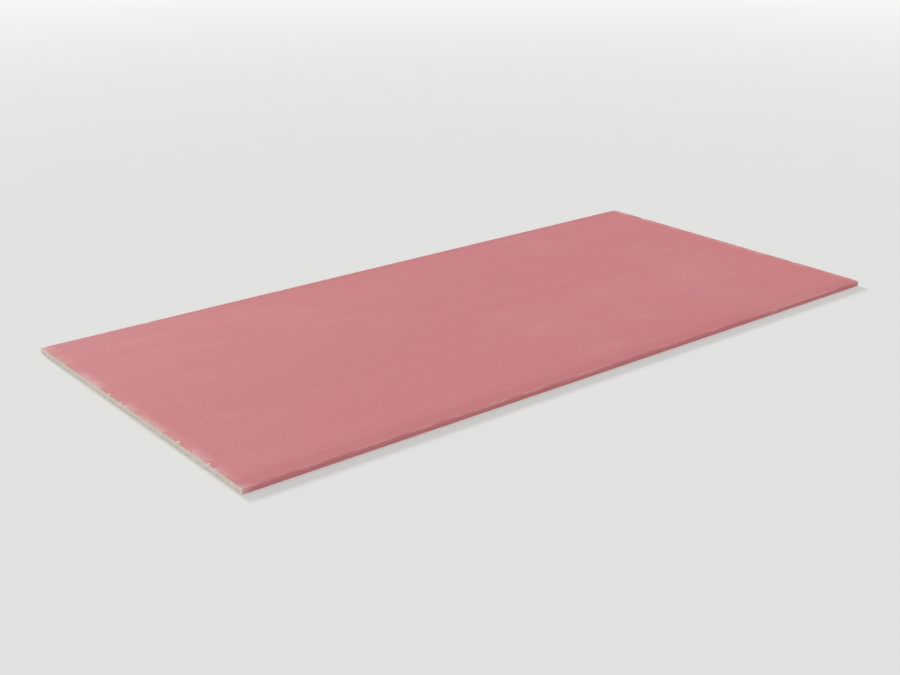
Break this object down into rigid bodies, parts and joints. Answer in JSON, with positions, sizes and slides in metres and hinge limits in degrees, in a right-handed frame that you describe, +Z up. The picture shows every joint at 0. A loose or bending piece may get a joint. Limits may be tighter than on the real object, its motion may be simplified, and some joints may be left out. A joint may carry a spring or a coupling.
{
  "type": "drywall sheet",
  "caption": "Flat fire-rated plasterboard sheet with pink paper face, tapered paper-bound long edges and sawn gypsum ends, for lining walls and ceilings.",
  "frame": {"origin": "centre of the back face, the face that the sheet lies on", "axes": "+X along the sheet between the two cut ends, +Y across it between the two long edges, +Z up out of the pink face"},
  "size_m": [2.5, 1.2, 0.018],
  "materials": {
    "face_paper": "matt pink fibrous paper, face and long edges",
    "gypsum": "bare sawn gypsum, chalky and finely pitted",
    "back_paper": "matt tan fibrous paper, back"
  },
  "bodies": {
    "root": {"drywall_sheet": "face_paper"}
  },
  "joints": []
}
